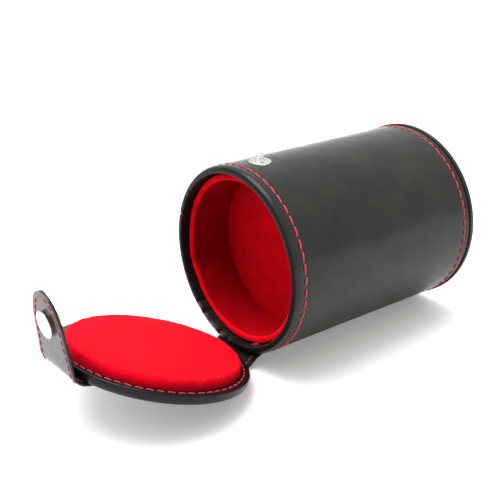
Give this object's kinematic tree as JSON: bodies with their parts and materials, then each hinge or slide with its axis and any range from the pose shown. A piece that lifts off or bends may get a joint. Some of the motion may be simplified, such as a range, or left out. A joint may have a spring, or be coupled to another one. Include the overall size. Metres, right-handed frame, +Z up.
{
  "type": "dice cup",
  "caption": "Leather-covered dice cup lined with velvet, with a dice store behind a padded lid that folds on a strap and closes with a snap.",
  "frame": {"origin": "centre of the box's underside, on the surface that the cup lies on", "axes": "+X from the open tab towards the cup's far open rim, +Z up, Y across the cup and along both fold axes"},
  "size_m": [0.1926, 0.0812, 0.0879],
  "materials": {
    "black_leather": "semi-gloss, fine smooth grain",
    "black_lining": "matt",
    "red_velvet": "short velvet pile",
    "grey_card": "raw grey board",
    "foam": "open-cell foam",
    "nickel_steel": "nickel plate"
  },
  "bodies": {
    "cup": {"outer_wrap": "black_leather", "core_tube": "grey_card", "divider_board": "grey_card", "store_liner_card": "grey_card", "store_liner_velvet": "red_velvet", "store_floor_velvet": "red_velvet", "store_floor_card": "grey_card", "cup_liner_card": "grey_card", "cup_liner_velvet": "red_velvet", "cup_floor_foam": "foam", "cup_floor_velvet": "red_velvet", "snap_stud": "nickel_steel", "stud_rivet": "nickel_steel", "strap_outer_on_cup": "black_leather", "strap_lining_on_cup": "black_lining", "strap_outer_fold": "black_leather", "strap_lining_fold": "black_lining"},
    "lid": {"lid_cover": "black_leather", "lid_board": "grey_card", "lid_filler": "grey_card", "pad_velvet": "red_velvet", "pad_foam": "foam", "pad_card": "grey_card", "strap_outer_on_lid": "black_leather", "strap_lining_on_lid": "black_lining", "strap_outer_bend": "black_leather", "strap_lining_bend": "black_lining"},
    "tab": {"tab_outer": "black_leather", "tab_lining": "black_lining", "snap_cap": "nickel_steel", "snap_socket": "nickel_steel", "snap_spring": "nickel_steel"}
  },
  "joints": [
    {"name": "lid_hinge", "type": "hinge", "parent": "cup", "child": "lid", "pos_m": [-0.01334, 0, 0.00462], "axis": [0, 1, 0], "range_deg": [-120, 74.43], "stiffness_Nm_per_rad": 0.03, "springref_deg": 18.91, "deforming": ["strap_outer_fold", "strap_lining_fold"]},
    {"name": "tab_flex", "type": "hinge", "parent": "lid", "child": "tab", "pos_m": [-0.09341, 0, 0.03308], "axis": [0, 1, 0], "range_deg": [-90, 22.5], "stiffness_Nm_per_rad": 0.004, "deforming": ["strap_outer_bend", "strap_lining_bend"]}
  ]
}
